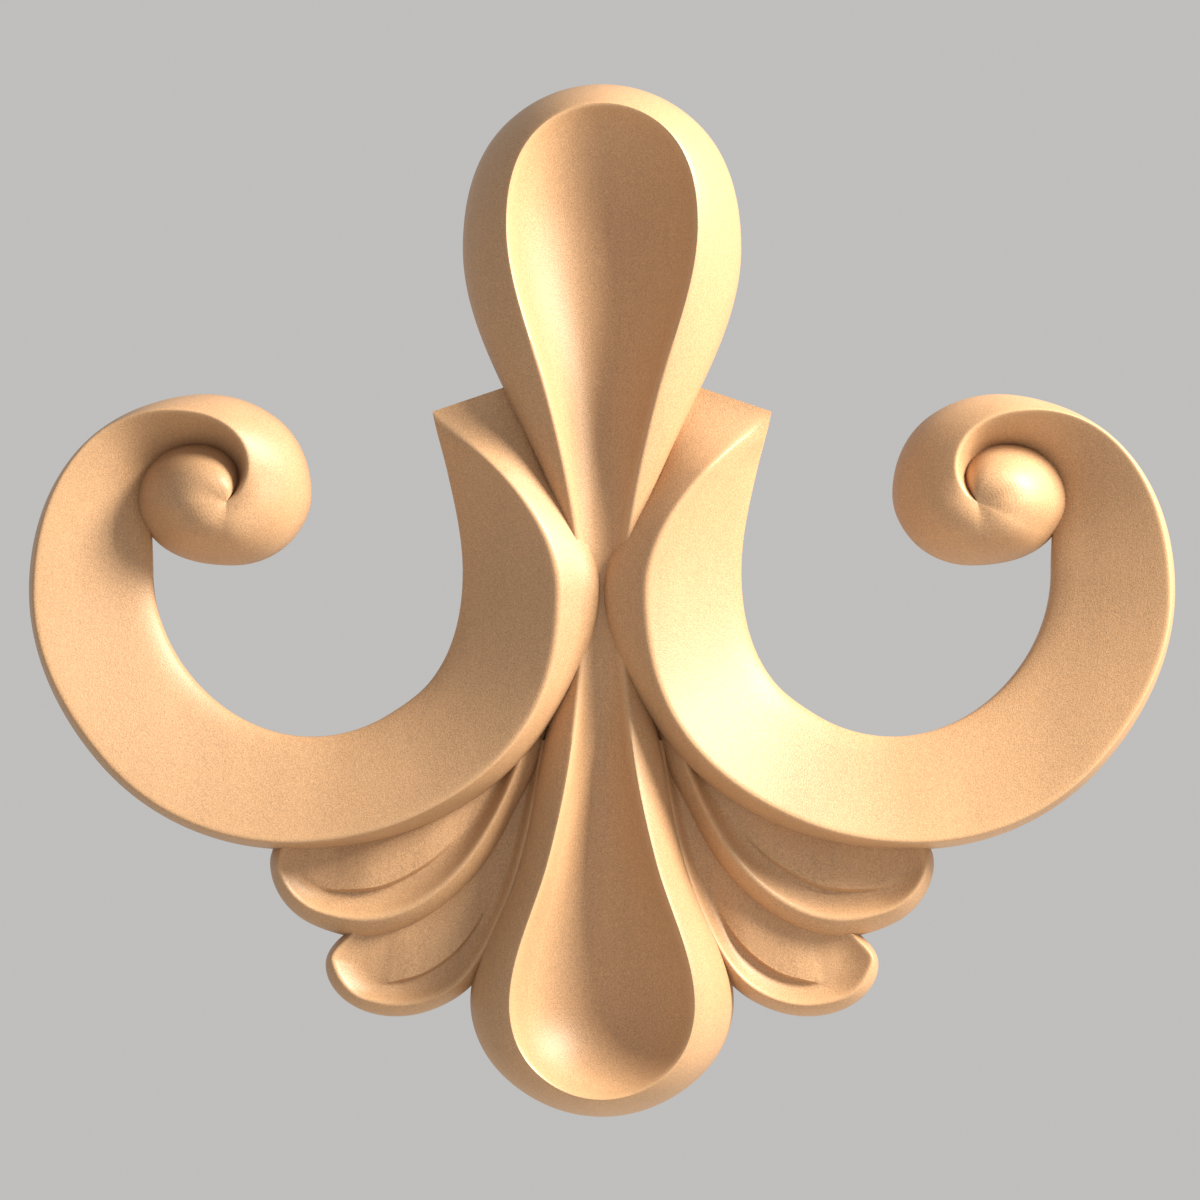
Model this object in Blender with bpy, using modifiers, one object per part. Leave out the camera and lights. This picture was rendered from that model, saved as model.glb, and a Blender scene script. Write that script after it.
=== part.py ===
"""Scroll onlay: one carved wooden ornament with a flat back, made to be fixed to furniture.

Lengths are metres. The back lies on the plane y = 0, the carving faces -Y, +Z is up,
and the origin is the middle of the back. The outlines are drawn for the right half, in
hundredths of the half width and of the half height, and the left half mirrors it. A
knot of an outline is (u, z, heading), the heading in degrees from straight outwards.
"""

from math import pi, radians

import bmesh
import bpy
import numpy as np
from mathutils import Matrix

# Overall sizes of the carving.
WIDTH = 0.200
HEIGHT = 0.1803

# Heights of the two C-scrolls above the back.
SCROLL_CREST = 0.0175
SWEEP_CREST = 0.0150
TIP_HEIGHT = 0.0095
BAY_EDGE = 0.0062
SWEEP_FOOT = 0.0042
CURL_LIP = 0.0160
CURL_EYE = 0.0154
CURL_SWELL = 0.0042
CHANNEL_FLOOR = 0.0050

# Heights of the double drop on the centre line.
DISH_RIM = 0.0180
DISH_FLOOR = 0.0070
STEM_HEIGHT = 0.0108
STEM_RIM_RISE = 0.0012
DROP_FOOT = 0.0042

# Heights of the leaves, and what is cut into them.
UPPER_LEAF_RIM = 0.0098
LOWER_LEAF_RIM = 0.0082
FLUTE_DEPTH = 0.0030
VEIN_STEP = 0.0012
LOBE_BULGE = 0.0005
LEAF_FOOT = 0.0028

# The roll of the scroll's face into the bay.
BAY_ROLL = 0.0014
BAY_ROLL_WIDTH = 0.0040

# Facets: the longest stretch and the widest turn, in degrees, between two sections, and
# the facets across each surface.
SECTION_STEP = 0.0060
LEAF_STEP = 0.0034
WIDEST_TURN = 11
FACE_FACETS = 4
ROLL_FACETS = 6
BAND_FACETS = 4
HOLLOW_FACETS = 5

# The stations of the scroll up to the eye; the ball starts at the last of them.
ARM_STATIONS = 14

# Every solid first reaches this far behind the back, and one cut makes the back flat.
BACK_SURPLUS = 0.0020
WELD = 1e-6

CARVED_WOOD_COLOUR = (0.80, 0.56, 0.33, 1.0)
CARVED_WOOD_ROUGHNESS = 0.55


def place(u, z):
    """A point of the drawing, from its shares of the half width and half height."""
    return np.array([u * WIDTH / 200, z * HEIGHT / 200])


def span(start, end, shares):
    """Points of the elliptic arc that leaves start and reaches end at their headings."""
    a = place(start[0], start[1])
    b = place(end[0], end[1])
    leave = np.array([np.cos(radians(start[2])), np.sin(radians(start[2]))])
    reach = np.array([np.cos(radians(end[2])), np.sin(radians(end[2]))])
    turn = abs((end[2] - start[2] + 180) % 360 - 180)
    turn = radians(min(max(turn, 1), 90))
    pull = 4 / 3 * np.tan(turn / 4) / np.sin(turn)
    first = a + leave * abs((b - a) @ leave) * pull
    second = b - reach * abs((b - a) @ reach) * pull
    t = np.asarray(shares)[:, None]
    return (1 - t) ** 3 * a + 3 * (1 - t) ** 2 * t * first + 3 * (1 - t) * t * t * second + t**3 * b


def eased(values, stretch, t):
    """A height between two stations, on a smooth curve through all of them."""
    last = len(values) - 1
    before, here, there, after = (values[min(max(stretch + k, 0), last)] for k in (-1, 0, 1, 2))
    straight = here + (there - here) * (3 * t**2 - 2 * t**3)
    leave = (there - before) / 2 * (t**3 - 2 * t**2 + t)
    reach = (after - here) / 2 * (t**3 - t**2)
    level = (there - here) * (here - before) <= 0
    level_next = (after - there) * (there - here) <= 0
    return straight + (0 if level else leave) + (0 if level_next else reach)


def sections(rows, longest=SECTION_STEP):
    """Plan points and heights at every section, from rows of (knots, heights) at the stations."""
    rails = list(zip(*(knots for knots, _ in rows)))
    heights = list(zip(*(levels for _, levels in rows)))
    found = []
    for stretch in range(len(rows) - 1):
        lengths = [np.linalg.norm(place(*r[stretch + 1][:2]) - place(*r[stretch][:2])) for r in rails]
        turns = [abs((r[stretch + 1][2] - r[stretch][2] + 180) % 360 - 180) for r in rails]
        steps = max(2, int(np.ceil(max(lengths) / longest)), int(np.ceil(max(turns) / WIDEST_TURN)))
        shares = np.arange(steps + (stretch == len(rows) - 2)) / steps
        plans = [span(rail[stretch], rail[stretch + 1], shares) for rail in rails]
        for i, share in enumerate(shares):
            found.append(([plan[i] for plan in plans], [eased(h, stretch, share) for h in heights]))
    return found


def profile(a, b, low, high, shares, shape):
    """Points of a surface on the way from a to b, its height going from low to high by shape."""
    return [(*(a + (b - a) * s), low + (high - low) * shape(s)) for s in shares]


def even(count):
    """The ends of so many equal facets, without the start of the first."""
    return np.arange(1, count + 1) / count


def band(share):
    """The fall of a side band: gentle at the crest, steep at the foot."""
    return 0.45 * share + 0.55 * (1 - np.sqrt(1 - share**2))


def hollow(share):
    """The rise of a scooped hollow: level at its floor, steep at its rim."""
    return 0.35 * share**2 + 0.65 * (1 - np.sqrt(1 - 0.96 * share**2)) / 0.8


def skin(name, rows, collection, closed_loop=False):
    """A closed mesh between a carved front, given as rows of (x, z, height), and a flat back.

    In a closed loop the rows are spokes that all start on a middle line.
    """
    across = len(rows[0])
    front = [(x, -height, z) for row in rows for x, z, height in row]
    back = [(x, BACK_SURPLUS, z) for x, _, z in front]
    behind = len(front)
    faces = []
    for i in range(len(rows) if closed_loop else len(rows) - 1):
        a = i * across
        b = (i + 1) % len(rows) * across
        for k in range(across - 1):
            faces.append((a + k, a + k + 1, b + k + 1, b + k))
            faces.append((behind + b + k, behind + b + k + 1, behind + a + k + 1, behind + a + k))
        end = across - 1
        faces.append((a + end, behind + a + end, behind + b + end, b + end))
        if not closed_loop:
            faces.append((b, behind + b, behind + a, a))
    if not closed_loop:
        last = behind - across
        for k in range(across - 1):
            faces.append((k, behind + k, behind + k + 1, k + 1))
            faces.append((last + k + 1, behind + last + k + 1, behind + last + k, last + k))
    mesh = bpy.data.meshes.new(name)
    mesh.from_pydata(front + back, [], faces)
    made = bpy.data.objects.new(name, mesh)
    collection.objects.link(made)
    bpy.context.view_layer.objects.active = made
    made.select_set(True)
    bpy.ops.object.mode_set(mode="EDIT")
    bpy.ops.mesh.select_all(action="SELECT")
    bpy.ops.mesh.remove_doubles(threshold=WELD)
    bpy.ops.mesh.dissolve_degenerate(threshold=WELD)
    bpy.ops.mesh.quads_convert_to_tris(quad_method="SHORTEST_DIAGONAL")
    bpy.ops.mesh.normals_make_consistent(inside=False)
    bpy.ops.object.mode_set(mode="OBJECT")
    made.select_set(False)
    return made


def scroll_sheet(rows):
    """The front of the scroll along a run of its stations, from the bay edge to the foot."""
    surface = []
    for (edge, crest, foot), (low, high, base, swell) in sections(rows):
        width = max(np.linalg.norm(crest - edge), WELD)
        turn = min(0.4, BAY_ROLL_WIDTH / width)
        roll = min(0.2, BAY_ROLL / max(high - low, WELD))

        def face(share):
            return roll * np.sqrt(1 - (1 - min(1, share / turn)) ** 2) + (1 - roll) * share

        def side(share):
            return band(share) + swell * np.sin(pi * share) / (base - high or 1)

        shares = [turn / 3, turn, *(turn + (1 - turn) * even(FACE_FACETS - 2))]
        row = [(*edge, low)] + profile(edge, crest, low, high, shares, face)
        surface.append(row + profile(crest, foot, high, base, even(ROLL_FACETS), side))
    return surface


def scroll(collection):
    """The C-scroll: a sloping face, a crest and a side band, and the curl that they roll into.

    The knots are those of the bay edge, the crest and the foot. At the eye of the curl the
    crest stops, and the foot winds on round the ball until it reaches the eye as well. The
    ball laps over the channel, so it is a stock of its own that shares the arm's last section.
    """
    eye = (65.2, 18.9, -45)
    mid_crest = 0.5 * (SCROLL_CREST + SWEEP_CREST)
    lip_end = 0.5 * (CURL_LIP + CURL_EYE)
    channel_end = 0.5 * (CHANNEL_FLOOR + CURL_EYE)
    ball_foot = 1.25 * CHANNEL_FLOOR
    rows = [
        (((29.5, 36.5, -100), (29.5, 36.5, -137), (12.0, 43.1, -117)),
         (TIP_HEIGHT, TIP_HEIGHT, 0.72 * TIP_HEIGHT, 0)),
        (((27.0, 25.0, -103), (17.8, 24.7, -133), (8.0, 24.0, -117)),
         (BAY_EDGE, 0.9 * SCROLL_CREST, 0.6 * STEM_HEIGHT, 0)),
        (((24.3, 5.5, -90), (7.6, 1.1, -90), (0.7, 2.0, -90)),
         (BAY_EDGE, SCROLL_CREST, STEM_HEIGHT, 0)),
        (((29.8, -15.4, -52), (13.4, -24.1, -57), (9.9, -25.0, -56)),
         (BAY_EDGE, SCROLL_CREST, 0.75 * STEM_HEIGHT, 0)),
        (((37.3, -22.1, -32), (33.5, -41.8, -24), (33.5, -44.6, -20)),
         (BAY_EDGE, mid_crest, 1.6 * SWEEP_FOOT, 0)),
        (((50.8, -26.4, 0), (54.5, -46.6, 0), (54.6, -48.2, 0)),
         (BAY_EDGE, SWEEP_CREST, SWEEP_FOOT, 0)),
        (((72.9, -13.1, 54), (86.2, -31.0, 49), (87.6, -31.7, 49)),
         (BAY_EDGE, SWEEP_CREST, SWEEP_FOOT, 0)),
        (((78.5, 5.5, 90), (98.8, 1.0, 90), (100.0, 2.0, 90)),
         (BAY_EDGE, SWEEP_CREST, SWEEP_FOOT, 0)),
        (((78.8, 20.0, 92), (88.9, 31.0, 137), (89.7, 31.1, 137)),
         (CHANNEL_FLOOR, SWEEP_CREST, SWEEP_FOOT, 0)),
        (((71.6, 28.8, 180), (75.4, 36.7, 180), (71.9, 39.8, 173)),
         (CHANNEL_FLOOR, CURL_LIP, SWEEP_FOOT, 0)),
        (((66.5, 27.4, -140), (64.9, 33.4, -141), (57.2, 35.7, -144)),
         (CHANNEL_FLOOR, CURL_LIP, SWEEP_FOOT, 0)),
        (((64.4, 23.4, -90), (61.6, 26.0, -90), (50.8, 20.6, -90)),
         (CHANNEL_FLOOR, CURL_LIP, SWEEP_FOOT, 0)),
        (((64.7, 20.6, -60), (63.0, 21.4, -58), (53.6, 12.5, -52)),
         (channel_end, lip_end, SWEEP_FOOT, 0.3 * CURL_SWELL)),
        ((eye, eye, (64.6, 6.8, 0)),
         (CURL_EYE, CURL_EYE, SWEEP_FOOT, 0.5 * CURL_SWELL)),
        ((eye, eye, (78.2, 11.9, 47)),
         (CURL_EYE, CURL_EYE, SWEEP_FOOT, 0.8 * CURL_SWELL)),
        ((eye, eye, (81.2, 19.5, 90)),
         (CURL_EYE, CURL_EYE, ball_foot, CURL_SWELL)),
        ((eye, eye, (77.2, 28.2, 143)),
         (CURL_EYE, CURL_EYE, ball_foot, CURL_SWELL)),
        ((eye, eye, (70.2, 30.6, 180)),
         (CURL_EYE, CURL_EYE, ball_foot, 0.9 * CURL_SWELL)),
        ((eye, eye, (62.8, 23.5, -90)),
         (CURL_EYE, CURL_EYE, ball_foot, 0.5 * CURL_SWELL)),
        ((eye, eye, eye),
         (CURL_EYE, CURL_EYE, CURL_EYE, 0)),
    ]
    arm = skin("arm_stock", scroll_sheet(rows[:ARM_STATIONS]), collection)
    ball = skin("ball_stock", scroll_sheet(rows[ARM_STATIONS - 1 :]), collection)
    return arm, ball


def drop(collection):
    """The double drop: a rimmed hollow from loop to toe, with round side bands."""
    loop_eye = (0, 70, -90)
    toe_eye = (0, -78, -90)
    neck = STEM_HEIGHT + STEM_RIM_RISE
    rows = [
        ((loop_eye, (0, 95.5, 0), (0, 100, 0)),
         (DISH_FLOOR, DISH_RIM, DROP_FOOT)),
        ((loop_eye, (11.6, 89.8, -48), (17.5, 91.5, -47)),
         (DISH_FLOOR, DISH_RIM, DROP_FOOT)),
        ((loop_eye, (16.3, 72.5, -90), (24.3, 68.2, -90)),
         (DISH_FLOOR, DISH_RIM, DROP_FOOT)),
        (((0, 40, -90), (9.3, 40.0, -105), (16.7, 40.0, -116)),
         (0.8 * STEM_HEIGHT, 0.95 * DISH_RIM, 2.2 * DROP_FOOT)),
        (((0, 14, -90), (4.5, 13.6, -97), (6.6, 14.0, -108)),
         (STEM_HEIGHT, 1.12 * neck, STEM_HEIGHT)),
        (((0, -7, -90), (3.5, -7.6, -88), (4.4, -6.0, -85)),
         (STEM_HEIGHT, neck, 0.8 * STEM_HEIGHT)),
        (((0, -27, -90), (4.8, -27.0, -83), (10.0, -27.0, -78)),
         (0.88 * STEM_HEIGHT, 1.2 * neck, 0.7 * STEM_HEIGHT)),
        (((0, -50, -90), (9.1, -50.2, -75), (14.4, -50.2, -75)),
         (1.1 * DISH_FLOOR, 0.93 * DISH_RIM, 1.4 * DROP_FOOT)),
        ((toe_eye, (15.8, -77.8, -90), (23.0, -77.5, -90)),
         (DISH_FLOOR, DISH_RIM, DROP_FOOT)),
        ((toe_eye, (11.8, -90.0, -133), (17.2, -92.1, -136)),
         (DISH_FLOOR, DISH_RIM, DROP_FOOT)),
        ((toe_eye, (0, -95.8, -180), (0, -100, -180)),
         (DISH_FLOOR, DISH_RIM, DROP_FOOT)),
    ]
    half = []
    for (middle, rim, foot), (low, high, base) in sections(rows):
        dish = profile(middle, rim, low, high, even(HOLLOW_FACETS), hollow)
        half.append([(*middle, low)] + dish + profile(rim, foot, high, base, even(BAND_FACETS), band))
    mirrored = [[(-x, z, height) for x, z, height in spoke] for spoke in half[-2:0:-1]]
    return skin("drop_stock", half + mirrored, collection, closed_loop=True)


def leaf(name, rim_height, rows, collection):
    """A cupped leaf: a lobe, a step down at its vein, a flute that rises to the rim, and a side band.

    The knots are those of the root, the vein, the rim and the foot. With them go the rim's
    and the vein's share of their full height, and the height of the foot.
    """
    floor = rim_height - FLUTE_DEPTH
    levels = []
    for knots, (rim_share, vein_share, foot_height) in rows:
        ground = floor * rim_share
        levels.append((knots, (ground, vein_share * VEIN_STEP, rim_height * rim_share, foot_height)))
    surface = []
    for (root, vein, rim, foot), (ground, step, high, base) in sections(levels, LEAF_STEP):
        under = vein + (rim - vein) * 0.12
        lobe = profile(root, vein, ground, ground + step, even(3), lambda s: s)
        bulge = LOBE_BULGE * step / VEIN_STEP
        bulged = [(x, z, h + bulge * np.sin(pi * (k + 1) / 3)) for k, (x, z, h) in enumerate(lobe)]
        flute = profile(under, rim, ground, high, even(4), lambda s: s**2)
        row = [(*root, ground), *bulged, (*under, ground), *flute]
        surface.append(row + profile(rim, foot, high, base, even(BAND_FACETS), band))
    return skin(name, surface, collection)


def join(target, other, operation="UNION"):
    step = target.modifiers.new(other.name, "BOOLEAN")
    step.operation = operation
    step.solver = "EXACT"
    step.object = other


for old in list(bpy.data.objects):
    bpy.data.objects.remove(old)

part = bpy.data.collections.new("scroll_onlay")
stock = bpy.data.collections.new("stock")
bpy.context.scene.collection.children.link(part)
bpy.context.scene.collection.children.link(stock)

onlay = drop(part)
onlay.name = "scroll_onlay"

under_scroll = 0.6 * LOWER_LEAF_RIM
upper_leaf = leaf(
    "upper_leaf_stock",
    UPPER_LEAF_RIM,
    [
        (((50.0, -43.0, 180), (51.0, -47.0, -85), (55.6, -47.0, -80), (56.6, -46.6, -50)),
         (0.95, 0, LEAF_FOOT)),
        (((48.0, -43.0, 180), (50.2, -54.4, -150), (56.4, -51.6, -104), (58.0, -51.4, -94)),
         (1, 0, LEAF_FOOT)),
        (((44.0, -42.5, 175), (46.5, -55.8, -180), (49.0, -60.1, -162), (50.4, -62.9, -156)),
         (1, 0.5, LEAF_FOOT)),
        (((39.0, -41.5, 165), (40.5, -55.5, 173), (40.1, -61.3, 175), (40.5, -65.1, 175)),
         (1, 1, under_scroll)),
        (((30.0, -38.0, 152), (31.8, -51.6, 149), (27.6, -54.7, 139), (24.8, -56.4, 137)),
         (1, 1, under_scroll)),
        (((21.0, -32.0, 140), (22.0, -41.0, 127), (18.7, -41.3, 118), (16.1, -42.5, 115)),
         (1, 0, under_scroll)),
        (((15.5, -25.0, 128), (15.8, -29.0, 115), (14.4, -30.0, 110), (10.8, -30.0, 106)),
         (0.92, 0, under_scroll)),
        (((12.5, -17.0, 120), (12.5, -20.0, 115), (11.5, -21.0, 112), (8.0, -21.0, 110)),
         (0.7, 0, under_scroll)),
    ],
    stock,
)
lower_leaf = leaf(
    "lower_leaf_stock",
    LOWER_LEAF_RIM,
    [
        (((40.0, -60.5, 180), (41.2, -63.6, -80), (43.3, -64.1, -50), (43.8, -63.7, -35)),
         (0.75, 0, LEAF_FOOT)),
        (((38.5, -60.8, 180), (41.5, -72.2, -150), (47.1, -69.6, -105), (48.3, -70.5, -90)),
         (1, 0, LEAF_FOOT)),
        (((35.5, -60.8, 170), (38.4, -73.7, 180), (41.4, -77.0, -163), (42.5, -79.1, -155)),
         (1, 0.35, LEAF_FOOT)),
        (((33.0, -60.0, 165), (34.4, -73.1, 170), (34.4, -78.0, 175), (35.3, -80.6, 178)),
         (1, 1, LEAF_FOOT)),
        (((26.0, -55.0, 140), (26.0, -68.1, 138), (27.2, -75.4, 149), (26.0, -77.4, 150)),
         (1, 1, LEAF_FOOT)),
        (((19.5, -46.0, 120), (19.0, -56.8, 118), (17.6, -59.9, 113), (15.4, -60.5, 114)),
         (1, 0, under_scroll)),
        (((14.5, -34.0, 108), (13.6, -37.5, 106), (12.0, -38.0, 102), (9.6, -38.0, 102)),
         (0.95, 0, under_scroll)),
        (((12.0, -26.0, 104), (11.5, -27.0, 104), (10.4, -27.0, 100), (8.0, -27.0, 100)),
         (0.85, 0, under_scroll)),
    ],
    stock,
)
arm, ball = scroll(stock)

behind = bmesh.new()
block = Matrix.Diagonal((2 * WIDTH, 2 * BACK_SURPLUS, 2 * HEIGHT, 1))
bmesh.ops.create_cube(behind, size=1, matrix=block)
bmesh.ops.translate(behind, verts=behind.verts, vec=(0, BACK_SURPLUS, 0))
back_mesh = bpy.data.meshes.new("back_cut")
behind.to_mesh(back_mesh)
behind.free()
back_cut = bpy.data.objects.new("back_cut", back_mesh)
stock.objects.link(back_cut)

join(onlay, lower_leaf)
join(onlay, upper_leaf)
join(onlay, arm)
join(onlay, ball)
join(onlay, back_cut, "DIFFERENCE")
halves = onlay.modifiers.new("left half", "MIRROR")
halves.use_bisect_axis[0] = True
halves.bisect_threshold = WELD
halves.merge_threshold = WELD

for helper in stock.objects:
    helper.hide_render = True
    helper.display_type = "WIRE"
stock.hide_render = True

wood = bpy.data.materials.new("carved_wood")
wood.use_nodes = True
shader = wood.node_tree.nodes["Principled BSDF"]
shader.inputs["Base Color"].default_value = CARVED_WOOD_COLOUR
shader.inputs["Roughness"].default_value = CARVED_WOOD_ROUGHNESS
shader.inputs["Metallic"].default_value = 0.0
onlay.data.materials.append(wood)
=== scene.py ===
# %% [markdown]
# # A carved scroll onlay
# The real object is one piece of light, close-grained hardwood, carved on its face and sawn
# flat behind, so that it can be glued to a drawer front or a mantel. This lesson takes the
# coarse solid of the carving as its frame and carves it again at full fineness.

# %% Load the frame
from math import ceil, pi, radians

import bpy
import numpy as np
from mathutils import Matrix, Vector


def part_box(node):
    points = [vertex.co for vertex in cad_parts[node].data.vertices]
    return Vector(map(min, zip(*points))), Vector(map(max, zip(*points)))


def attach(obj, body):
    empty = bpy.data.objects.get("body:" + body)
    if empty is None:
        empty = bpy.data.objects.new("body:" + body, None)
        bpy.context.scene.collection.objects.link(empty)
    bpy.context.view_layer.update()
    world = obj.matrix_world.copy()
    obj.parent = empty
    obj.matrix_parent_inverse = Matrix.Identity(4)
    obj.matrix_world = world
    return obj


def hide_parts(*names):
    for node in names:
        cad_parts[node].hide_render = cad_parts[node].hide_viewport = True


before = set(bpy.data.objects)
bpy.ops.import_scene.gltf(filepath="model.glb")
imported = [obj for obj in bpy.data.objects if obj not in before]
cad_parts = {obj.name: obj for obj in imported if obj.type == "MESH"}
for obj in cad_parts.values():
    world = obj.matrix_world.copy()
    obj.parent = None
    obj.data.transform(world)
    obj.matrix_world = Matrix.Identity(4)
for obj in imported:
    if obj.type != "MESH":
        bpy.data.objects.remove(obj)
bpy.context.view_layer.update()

solid_low, solid_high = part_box("scroll_onlay")
WIDTH, DEPTH, HEIGHT = solid_high - solid_low
print("coarse solid, mm:", [round(1000 * side, 1) for side in (WIDTH, DEPTH, HEIGHT)])

# %% [markdown]
# ## How a carver's drawing becomes numbers
# A carver draws the outlines on the board first: the bay, the crest and the foot of each
# scroll. Here a knot of such an outline is (u, z, heading), in hundredths of the half width
# and the half height, and the line between two knots is an arc that leaves and arrives at
# their headings. Curve objects could hold the same lines, but a function gives the same
# number of points on every line, and the rows of a carved surface need that.


# %% Outlines
def place(u, z):
    """A point of the drawing, in metres from the middle of the back."""
    return np.array([u * WIDTH / 200, z * HEIGHT / 200])


def arc(start, end, shares):
    """Points of the elliptic arc that leaves start and reaches end at their headings."""
    a, b = place(*start[:2]), place(*end[:2])
    leave, reach = (np.array([np.cos(radians(h)), np.sin(radians(h))]) for h in (start[2], end[2]))
    turn = radians(min(max(abs((end[2] - start[2] + 180) % 360 - 180), 1), 90))
    pull = 4 / 3 * np.tan(turn / 4) / np.sin(turn)
    first = a + leave * abs((b - a) @ leave) * pull
    second = b - reach * abs((b - a) @ reach) * pull
    t = np.asarray(shares)[:, None]
    return (1 - t) ** 3 * a + 3 * (1 - t) ** 2 * t * first + 3 * (1 - t) * t * t * second + t**3 * b


def eased(values, stretch, t):
    """A height between two stations, on a smooth curve through all of them."""
    last = len(values) - 1
    before, here, there, after = (values[min(max(stretch + k, 0), last)] for k in (-1, 0, 1, 2))
    height = here + (there - here) * (3 * t**2 - 2 * t**3)
    if (there - here) * (here - before) > 0:
        height += (there - before) / 2 * (t**3 - 2 * t**2 + t)
    if (after - there) * (there - here) > 0:
        height += (after - here) / 2 * (t**3 - t**2)
    return height


halfway = arc((0, 0, 0), (1, 1, 90), [0.5])[0]
print("halfway round a quarter turn, mm:", np.round(1000 * halfway, 3))

# %% [markdown]
# ## Sections
# Each form is a run of sections across it, like the slices of a loaf. The stations give
# the knots and the heights where the carving changes, and the sections between them are
# a fraction of a millimetre apart, so that no facet shows at arm's length.

# %% Sections
FINE_STEP = 0.0008
LEAST_STEPS = 4
WIDEST_TURN = 4


def sections(rows, longest=FINE_STEP):
    """Plan points and heights at every section, from the stations' (knots, heights)."""
    rails = list(zip(*(knots for knots, _ in rows)))
    heights = list(zip(*(levels for _, levels in rows)))
    found = []
    for stretch in range(len(rows) - 1):
        ends = [(rail[stretch], rail[stretch + 1]) for rail in rails]
        length = max(np.linalg.norm(place(*b[:2]) - place(*a[:2])) for a, b in ends)
        turn = max(abs((b[2] - a[2] + 180) % 360 - 180) for a, b in ends)
        steps = max(LEAST_STEPS, ceil(length / longest), ceil(turn / WIDEST_TURN))
        shares = np.arange(steps + (stretch == len(rows) - 2)) / steps
        plans = [arc(a, b, shares) for a, b in ends]
        for i, share in enumerate(shares):
            found.append(([plan[i] for plan in plans], [eased(h, stretch, share) for h in heights]))
    return found


# %% [markdown]
# ## Profiles and soft crests
# A carver never leaves a knife edge where two surfaces meet. Sanding takes it down to a
# radius of about half a millimetre, and that thin rounding catches the light along every
# crest. A Bevel modifier could round it, but its width would fold over itself where the
# forms taper to nothing, so the rounding is part of each section: the two slopes stop
# short of the crest, and a small curve joins them. A hollow is part bowl and part steep
# curve, whose own rise of 1 - sqrt(1 - HOLLOW_STEEPNESS) is HOLLOW_RISE.

# %% Profiles
CREST_REACH = 0.0011
ROUNDING_STEPS = 5
WELD = 1e-6
BAND_SLANT = 0.45
HOLLOW_BOWL = 0.35
HOLLOW_STEEPNESS = 0.96
HOLLOW_RISE = 0.8
MOST_ROUNDED = 0.3


def band(share):
    """The fall of a side band: gentle at the crest, steep at the foot."""
    return BAND_SLANT * share + (1 - BAND_SLANT) * (1 - np.sqrt(1 - share**2))


def hollow(share):
    """The rise of a scooped hollow: level at its floor, steep at its rim."""
    steep = 1 - np.sqrt(1 - HOLLOW_STEEPNESS * share**2)
    return HOLLOW_BOWL * share**2 + (1 - HOLLOW_BOWL) * steep / HOLLOW_RISE


def slope(a, b, low, high, shape):
    """A function from a share of the way to a point (x, y, z) on the surface from a to b."""

    def point(share):
        x, z = a + (b - a) * share
        return np.array([x, -(low + (high - low) * shape(share)), z])

    return point


def over_crest(rise, fall, rise_steps, fall_steps, reach=CREST_REACH, ease=lambda s: s):
    """Points up one slope, over its rounded crest and down the other."""
    crest = fall(0)
    up = min(MOST_ROUNDED, reach / max(np.linalg.norm(crest - rise(0)), WELD))
    down = min(MOST_ROUNDED, reach / max(np.linalg.norm(fall(1) - crest), WELD))
    near, far = rise(1 - up), fall(down)
    climb = [rise((1 - up) * ease(s)) for s in np.linspace(0, 1, rise_steps + 1)]
    turns = np.linspace(0, 1, ROUNDING_STEPS + 1)[1:-1]
    turned = [(1 - t) ** 2 * near + 2 * t * (1 - t) * crest + t * t * far for t in turns]
    drop_off = [fall(down + (1 - down) * s) for s in np.linspace(0, 1, fall_steps + 1)]
    return climb + turned + drop_off


# %% [markdown]
# ## From a grid to a piece of stock
# Every form starts as Blender's grid primitive. Its vertices are laid on the sections, as
# a sheet of clay is laid over formers. The rim of the sheet is then extruded to behind the
# back, squashed flat there and filled with one face, because nobody sees that side. The
# grid's own UV map is kept, filled with distances along and across the form in tenths of a
# metre, so that tool lines can follow the carving later. A second map marks the soft
# crests, which get a painted highlight and are polished smoother, and the curls.

# %% Grid to stock
BACK_SURPLUS = 0.002
UV_SCALE = 10
# The crest mask's value at the ends of the rounding: it sets both the painted highlight and the
# polish.
EDGE_HIGHLIGHT_AND_POLISH = 0.4


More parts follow.
